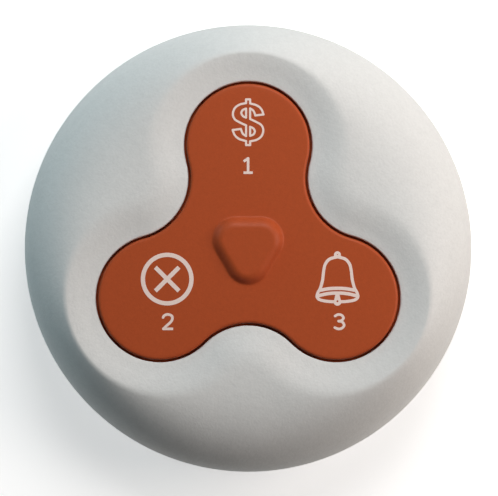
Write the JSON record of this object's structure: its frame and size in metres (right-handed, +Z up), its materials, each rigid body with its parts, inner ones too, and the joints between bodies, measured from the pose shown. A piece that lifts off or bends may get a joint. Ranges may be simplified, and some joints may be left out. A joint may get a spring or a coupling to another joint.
{
  "type": "waiter call button",
  "caption": "Round table-top waiter call button with a dished housing, a soft three-lobed keypad over separate pressed keys, and a twist-off battery lid.",
  "frame": {"origin": "on the table, under the middle of the keypad, in the plane of the rubber feet", "axes": "+Z up out of the keypad, +Y towards the lobe of the bill key, which is the top of the picture, +X to the right of the picture"},
  "size_m": [0.08, 0.08, 0.0209],
  "materials": {
    "shell_plastic": "fine spark-eroded grain, pale warm grey",
    "base_plastic": "fine grain, pale grey",
    "keypad_silicone": "soft matt rust-brown silicone",
    "key_plastic": "natural moulded plastic",
    "carbon_rubber": "matt carbon-filled rubber",
    "dark_rubber": "matt dark rubber",
    "board_laminate": "green solder mask",
    "gold_plate": "thin gold plate",
    "chip_resin": "moulded resin",
    "screw_steel": "zinc-plated steel",
    "can_steel": "nickel-plated steel"
  },
  "bodies": {
    "housing": {"upper_shell": "shell_plastic", "keypad_skin": "keypad_silicone", "guide_frame": "key_plastic", "frame_screws": "screw_steel", "dome_mat": "dark_rubber", "circuit_board": "board_laminate", "contact_pads": "gold_plate", "radio_chip": "chip_resin", "crystal": "can_steel", "chip_parts": "chip_resin", "antenna_coil": "gold_plate", "board_screws": "screw_steel", "minus_contact": "can_steel", "plus_contact": "can_steel", "coin_cell": "can_steel", "seam_gasket": "dark_rubber", "base_shell": "base_plastic", "case_screws": "screw_steel", "lid_seal": "dark_rubber", "rubber_feet": "dark_rubber"},
    "bill_key": {"bill_key": "key_plastic", "bill_pill": "carbon_rubber"},
    "cancel_key": {"cancel_key": "key_plastic", "cancel_pill": "carbon_rubber"},
    "call_key": {"call_key": "key_plastic", "call_pill": "carbon_rubber"},
    "battery_lid": {"battery_lid": "base_plastic"}
  },
  "joints": [
    {"name": "bill_press", "type": "slide", "parent": "housing", "child": "bill_key", "axis": [0, 0, -1], "range_m": [0, 0.0009], "stiffness_N_per_m": 1300, "springref_m": -0.0003, "deforming": ["keypad_skin", "dome_mat"]},
    {"name": "cancel_press", "type": "slide", "parent": "housing", "child": "cancel_key", "axis": [0, 0, -1], "range_m": [0, 0.0009], "stiffness_N_per_m": 1300, "springref_m": -0.0003, "deforming": ["keypad_skin", "dome_mat"]},
    {"name": "call_press", "type": "slide", "parent": "housing", "child": "call_key", "axis": [0, 0, -1], "range_m": [0, 0.0009], "stiffness_N_per_m": 1300, "springref_m": -0.0003, "deforming": ["keypad_skin", "dome_mat"]},
    {"name": "lid_turn", "type": "hinge", "parent": "housing", "child": "battery_lid", "pos_m": [0, 0, 0.0014], "axis": [0, 0, -1], "range_deg": [0, 40]}
  ]
}
